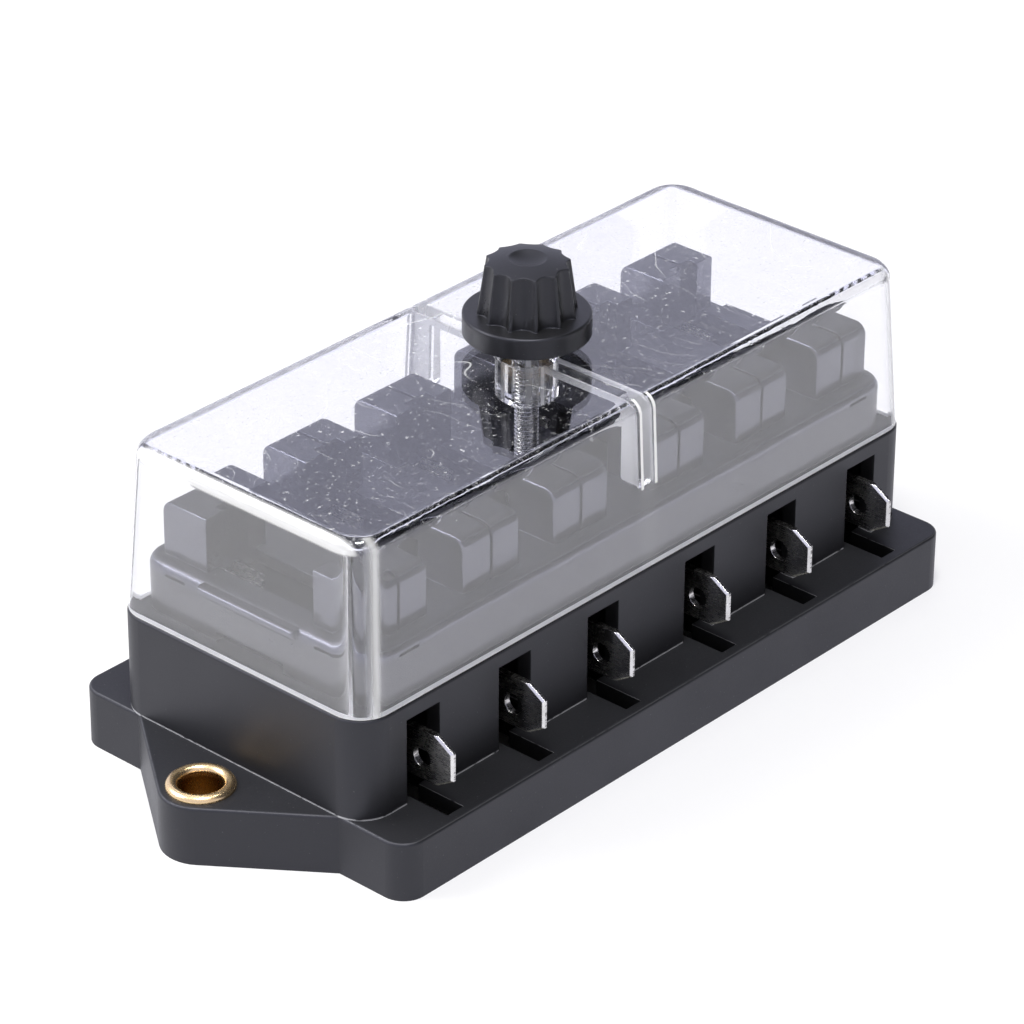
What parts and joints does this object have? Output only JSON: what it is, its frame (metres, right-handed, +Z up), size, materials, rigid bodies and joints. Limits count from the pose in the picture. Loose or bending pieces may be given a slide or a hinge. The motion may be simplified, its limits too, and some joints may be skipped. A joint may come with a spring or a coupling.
{
  "type": "blade fuse box",
  "caption": "Surface-mounted blade fuse box with a clear cover held by a fluted thumb nut, blade tabs along both sides and an eyeleted ear at each end.",
  "frame": {"origin": "middle of the underside", "axes": "+X along the row of fuses, +Y towards the tabs that face away in the picture, +Z up through the cover"},
  "size_m": [0.1188, 0.052, 0.0537],
  "materials": {
    "black_moulding": "fine matte moulded",
    "clear_plastic": "clear polished, lightly scratched",
    "knob_plastic": "semi-matte moulded",
    "plated_steel": "bright zinc plated",
    "tinned_brass": "tin plated sheet, sheared edges",
    "brass": "bright rolled"
  },
  "bodies": {
    "housing": {"base": "black_moulding", "fuse_carrier": "black_moulding", "cover_stud": "plated_steel", "stud_nut": "plated_steel", "eyelet_left": "brass", "eyelet_right": "brass", "terminal_near_1": "tinned_brass", "terminal_near_2": "tinned_brass", "terminal_near_3": "tinned_brass", "terminal_near_4": "tinned_brass", "terminal_near_5": "tinned_brass", "terminal_near_6": "tinned_brass", "terminal_far_1": "tinned_brass", "terminal_far_2": "tinned_brass", "terminal_far_3": "tinned_brass", "terminal_far_4": "tinned_brass", "terminal_far_5": "tinned_brass", "terminal_far_6": "tinned_brass"},
    "cover": {"clear_cover": "clear_plastic"},
    "nut_bush": {"thumb_nut_insert": "brass"},
    "nut": {"thumb_nut": "knob_plastic"}
  },
  "joints": [
    {"name": "cover_lift", "type": "slide", "parent": "housing", "child": "cover", "axis": [0, 0, 1], "range_m": [0, 0.04]},
    {"name": "nut_travel", "type": "slide", "parent": "cover", "child": "nut_bush", "axis": [0, 0, 1], "range_m": [-0.0023, 0.0055]},
    {"name": "nut_turn", "type": "hinge", "parent": "nut_bush", "child": "nut", "pos_m": [0, 0, 0.04435], "axis": [0, 0, 1], "range_deg": [-1661, 3965]}
  ],
  "couplings": [
    {"joint": "nut_turn", "follows": "nut_travel", "rad_per_m": 12566}
  ]
}
